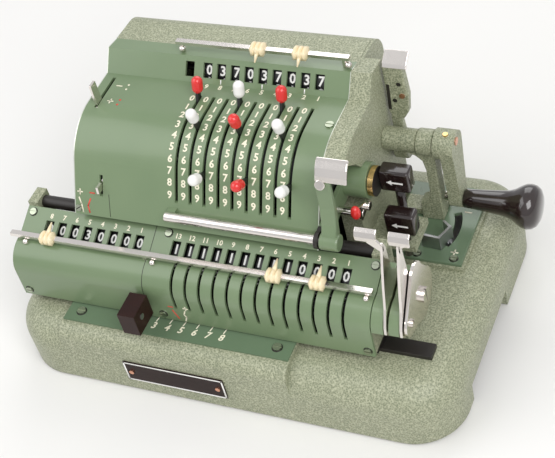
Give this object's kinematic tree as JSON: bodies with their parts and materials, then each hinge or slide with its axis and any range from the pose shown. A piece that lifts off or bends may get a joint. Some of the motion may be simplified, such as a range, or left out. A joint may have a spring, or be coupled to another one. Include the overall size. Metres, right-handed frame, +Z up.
{
  "type": "mechanical calculator",
  "caption": "Hand-cranked desktop calculating machine with setting levers, number windows and a shifting carriage on a rounded cast base.",
  "frame": {"origin": "middle of the bounding box on the table plane", "axes": "+Z up, +X to the crank side, -Y towards the user"},
  "size_m": [0.275, 0.1667, 0.148],
  "materials": {
    "hammer_paint": "hammered enamel",
    "satin_paint": "satin enamel",
    "nickel": "polished nickel",
    "steel": "machined",
    "bakelite": "polished",
    "rubber": "matt",
    "ivory": "polished",
    "dial_black": "satin",
    "knob_red": "polished",
    "knob_white": "polished"
  },
  "bodies": {
    "frame": {"base": "hammer_paint", "rubber_feet": "rubber", "front_plates": "satin_paint", "deck_plate": "satin_paint", "side_frames": "steel", "cross_rods": "steel", "setting_cover": "satin_paint", "rear_cover": "hammer_paint", "side_casting": "hammer_paint", "frame_screws": "steel", "top_rail": "nickel", "crank_bracket": "hammer_paint", "carriage_track": "dial_black"},
    "rotor": {"main_shaft": "steel", "actuator_wheels": "steel"},
    "crank": {"crank_shaft": "steel", "crank_arm": "hammer_paint"},
    "grip": {"crank_grip": "bakelite"},
    "carriage": {"carriage_bed": "dial_black", "carriage_ends": "hammer_paint", "counter_cover": "satin_paint", "result_cover": "satin_paint", "carriage_screws": "steel", "carriage_rail": "nickel", "carriage_shafts": "steel", "zero_side_plate": "nickel"},
    "back_lever_body": {"back_lever": "hammer_paint"},
    "result_zero_lever_body": {"result_zero_lever": "nickel"},
    "counter_zero_lever_body": {"counter_zero_lever": "nickel"},
    "clear_lever_body": {"clear_lever": "nickel"},
    "sign_lever_body": {"sign_lever": "nickel"},
    "counter_lever_body": {"counter_lever": "nickel"},
    "mode_lever_body": {"mode_lever": "nickel"},
    "stop_lever_body": {"stop_lever": "nickel"},
    "shift_key_rear_body": {"shift_key_rear": "bakelite"},
    "shift_key_front_body": {"shift_key_front": "bakelite"},
    "shift_handle_body": {"shift_handle": "bakelite"},
    "top_markers_body": {"top_markers": "ivory"},
    "carriage_markers_body": {"carriage_markers": "ivory"},
    "result_dials_body": {"result_dials": "dial_black"},
    "counter_dials_body": {"counter_dials": "dial_black"},
    "finger_wheels_body": {"finger_wheels": "dial_black"},
    "check_dial_1_body": {"check_dial_1": "dial_black"},
    "setting_lever_1_body": {"setting_lever_1": "knob_white"},
    "check_dial_2_body": {"check_dial_2": "dial_black"},
    "setting_lever_2_body": {"setting_lever_2": "knob_white"},
    "check_dial_3_body": {"check_dial_3": "dial_black"},
    "setting_lever_3_body": {"setting_lever_3": "knob_red"},
    "check_dial_4_body": {"check_dial_4": "dial_black"},
    "setting_lever_4_body": {"setting_lever_4": "knob_red"},
    "check_dial_5_body": {"check_dial_5": "dial_black"},
    "setting_lever_5_body": {"setting_lever_5": "knob_red"},
    "check_dial_6_body": {"check_dial_6": "dial_black"},
    "setting_lever_6_body": {"setting_lever_6": "knob_white"},
    "check_dial_7_body": {"check_dial_7": "dial_black"},
    "setting_lever_7_body": {"setting_lever_7": "knob_white"},
    "check_dial_8_body": {"check_dial_8": "dial_black"},
    "setting_lever_8_body": {"setting_lever_8": "knob_white"},
    "check_dial_9_body": {"check_dial_9": "dial_black"},
    "setting_lever_9_body": {"setting_lever_9": "knob_red"}
  },
  "joints": [
    {"name": "crank_turn", "type": "hinge", "parent": "frame", "child": "crank", "pos_m": [0.08, 0.0395, 0.096], "axis": [1, 0, 0], "continuous": true},
    {"name": "rotor_turn", "type": "hinge", "parent": "frame", "child": "rotor", "pos_m": [0, 0.0075, 0.096], "axis": [1, 0, 0], "continuous": true},
    {"name": "grip_spin", "type": "hinge", "parent": "crank", "child": "grip", "pos_m": [0.115, 0.0395, 0.0575], "axis": [1, 0, 0], "continuous": true},
    {"name": "carriage_shift", "type": "slide", "parent": "frame", "child": "carriage", "axis": [1, 0, 0], "range_m": [-0.032, 0.024]},
    {"name": "result_turn", "type": "hinge", "parent": "carriage", "child": "result_dials_body", "pos_m": [0, -0.0355, 0.065], "axis": [1, 0, 0], "continuous": true},
    {"name": "counter_turn", "type": "hinge", "parent": "carriage", "child": "counter_dials_body", "pos_m": [-0.08, -0.0355, 0.065], "axis": [1, 0, 0], "continuous": true},
    {"name": "finger_turn", "type": "hinge", "parent": "carriage", "child": "finger_wheels_body", "pos_m": [0, -0.049, 0.0615], "axis": [1, 0, 0], "continuous": true},
    {"name": "result_zero", "type": "hinge", "parent": "carriage", "child": "result_zero_lever_body", "pos_m": [0.082, -0.0355, 0.065], "axis": [1, 0, 0], "range_deg": [0, 30], "stiffness_Nm_per_rad": 0.05, "springref_deg": -11.46},
    {"name": "counter_zero", "type": "hinge", "parent": "carriage", "child": "counter_zero_lever_body", "pos_m": [0.09, -0.0355, 0.065], "axis": [1, 0, 0], "range_deg": [0, 30], "stiffness_Nm_per_rad": 0.05, "springref_deg": -11.46},
    {"name": "handle_push", "type": "slide", "parent": "carriage", "child": "shift_handle_body", "axis": [0, 1, 0], "range_m": [0, 0.0025], "stiffness_N_per_m": 300, "springref_m": -0.002},
    {"name": "carriage_marker_slide", "type": "slide", "parent": "carriage", "child": "carriage_markers_body", "axis": [1, 0, 0], "range_m": [-0.008, 0.016]},
    {"name": "top_marker_slide", "type": "slide", "parent": "frame", "child": "top_markers_body", "axis": [1, 0, 0], "range_m": [-0.018, 0.018]},
    {"name": "clear_pull", "type": "hinge", "parent": "frame", "child": "clear_lever_body", "pos_m": [0.01, -0.0356, 0.0943], "axis": [1, 0, 0], "range_deg": [0, 20], "stiffness_Nm_per_rad": 0.06, "springref_deg": -17.19},
    {"name": "key_rear_press", "type": "slide", "parent": "frame", "child": "shift_key_rear_body", "axis": [0, 0, -1], "range_m": [0, 0.005], "stiffness_N_per_m": 150, "springref_m": -0.003},
    {"name": "key_front_press", "type": "slide", "parent": "frame", "child": "shift_key_front_body", "axis": [0, 0, -1], "range_m": [0, 0.005], "stiffness_N_per_m": 150, "springref_m": -0.003},
    {"name": "stop_tilt", "type": "hinge", "parent": "frame", "child": "stop_lever_body", "pos_m": [0.06, -0.01, 0.09], "axis": [1, 0, 0], "range_deg": [-12, 12]},
    {"name": "back_tilt", "type": "hinge", "parent": "frame", "child": "back_lever_body", "pos_m": [0.062, 0.0502, 0.082], "axis": [1, 0, 0], "range_deg": [-15, 0]},
    {"name": "sign_tilt", "type": "hinge", "parent": "frame", "child": "sign_lever_body", "pos_m": [-0.09, 0.0075, 0.096], "axis": [1, 0, 0], "range_deg": [-24, 0]},
    {"name": "counter_tilt", "type": "hinge", "parent": "frame", "child": "counter_lever_body", "pos_m": [-0.0795, 0.0075, 0.096], "axis": [1, 0, 0], "range_deg": [-4, 4]},
    {"name": "mode_swing", "type": "hinge", "parent": "frame", "child": "mode_lever_body", "pos_m": [0.0645, 0.03, 0.04], "axis": [0, 0, 1], "range_deg": [0, 38]},
    {"name": "lever_1_set", "type": "hinge", "parent": "frame", "child": "setting_lever_1_body", "pos_m": [0.0295, 0.0075, 0.096], "axis": [1, 0, 0], "range_deg": [-77, 22]},
    {"name": "check_1_turn", "type": "hinge", "parent": "frame", "child": "check_dial_1_body", "pos_m": [0.0289, 0.04465, 0.12648], "axis": [1, 0, 0], "range_deg": [-73, 253]},
    {"name": "lever_2_set", "type": "hinge", "parent": "frame", "child": "setting_lever_2_body", "pos_m": [0.0215, 0.0075, 0.096], "axis": [1, 0, 0], "range_deg": [-33, 66]},
    {"name": "check_2_turn", "type": "hinge", "parent": "frame", "child": "check_dial_2_body", "pos_m": [0.0209, 0.04465, 0.12648], "axis": [1, 0, 0], "range_deg": [-217, 109]},
    {"name": "lever_3_set", "type": "hinge", "parent": "frame", "child": "setting_lever_3_body", "pos_m": [0.0135, 0.0075, 0.096], "axis": [1, 0, 0], "range_deg": [0, 99]},
    {"name": "check_3_turn", "type": "hinge", "parent": "frame", "child": "check_dial_3_body", "pos_m": [0.0129, 0.04465, 0.12648], "axis": [1, 0, 0], "range_deg": [-325, 1]},
    {"name": "lever_4_set", "type": "hinge", "parent": "frame", "child": "setting_lever_4_body", "pos_m": [0.0055, 0.0075, 0.096], "axis": [1, 0, 0], "range_deg": [-77, 22]},
    {"name": "check_4_turn", "type": "hinge", "parent": "frame", "child": "check_dial_4_body", "pos_m": [0.0049, 0.04465, 0.12648], "axis": [1, 0, 0], "range_deg": [-73, 253]},
    {"name": "lever_5_set", "type": "hinge", "parent": "frame", "child": "setting_lever_5_body", "pos_m": [-0.0025, 0.0075, 0.096], "axis": [1, 0, 0], "range_deg": [-33, 66]},
    {"name": "check_5_turn", "type": "hinge", "parent": "frame", "child": "check_dial_5_body", "pos_m": [-0.0031, 0.04465, 0.12648], "axis": [1, 0, 0], "range_deg": [-217, 109]},
    {"name": "lever_6_set", "type": "hinge", "parent": "frame", "child": "setting_lever_6_body", "pos_m": [-0.0105, 0.0075, 0.096], "axis": [1, 0, 0], "range_deg": [0, 99]},
    {"name": "check_6_turn", "type": "hinge", "parent": "frame", "child": "check_dial_6_body", "pos_m": [-0.0111, 0.04465, 0.12648], "axis": [1, 0, 0], "range_deg": [-325, 1]},
    {"name": "lever_7_set", "type": "hinge", "parent": "frame", "child": "setting_lever_7_body", "pos_m": [-0.0185, 0.0075, 0.096], "axis": [1, 0, 0], "range_deg": [-77, 22]},
    {"name": "check_7_turn", "type": "hinge", "parent": "frame", "child": "check_dial_7_body", "pos_m": [-0.0191, 0.04465, 0.12648], "axis": [1, 0, 0], "range_deg": [-73, 253]},
    {"name": "lever_8_set", "type": "hinge", "parent": "frame", "child": "setting_lever_8_body", "pos_m": [-0.0265, 0.0075, 0.096], "axis": [1, 0, 0], "range_deg": [-33, 66]},
    {"name": "check_8_turn", "type": "hinge", "parent": "frame", "child": "check_dial_8_body", "pos_m": [-0.0271, 0.04465, 0.12648], "axis": [1, 0, 0], "range_deg": [-217, 109]},
    {"name": "lever_9_set", "type": "hinge", "parent": "frame", "child": "setting_lever_9_body", "pos_m": [-0.0345, 0.0075, 0.096], "axis": [1, 0, 0], "range_deg": [0, 99]},
    {"name": "check_9_turn", "type": "hinge", "parent": "frame", "child": "check_dial_9_body", "pos_m": [-0.0351, 0.04465, 0.12648], "axis": [1, 0, 0], "range_deg": [-325, 1]}
  ],
  "couplings": [
    {"joint": "rotor_turn", "follows": "crank_turn", "ratio": -1},
    {"joint": "finger_turn", "follows": "result_turn", "ratio": -1},
    {"joint": "check_1_turn", "follows": "lever_1_set", "ratio": -3.2727},
    {"joint": "check_2_turn", "follows": "lever_2_set", "ratio": -3.2727},
    {"joint": "check_3_turn", "follows": "lever_3_set", "ratio": -3.2727},
    {"joint": "check_4_turn", "follows": "lever_4_set", "ratio": -3.2727},
    {"joint": "check_5_turn", "follows": "lever_5_set", "ratio": -3.2727},
    {"joint": "check_6_turn", "follows": "lever_6_set", "ratio": -3.2727},
    {"joint": "check_7_turn", "follows": "lever_7_set", "ratio": -3.2727},
    {"joint": "check_8_turn", "follows": "lever_8_set", "ratio": -3.2727},
    {"joint": "check_9_turn", "follows": "lever_9_set", "ratio": -3.2727}
  ]
}
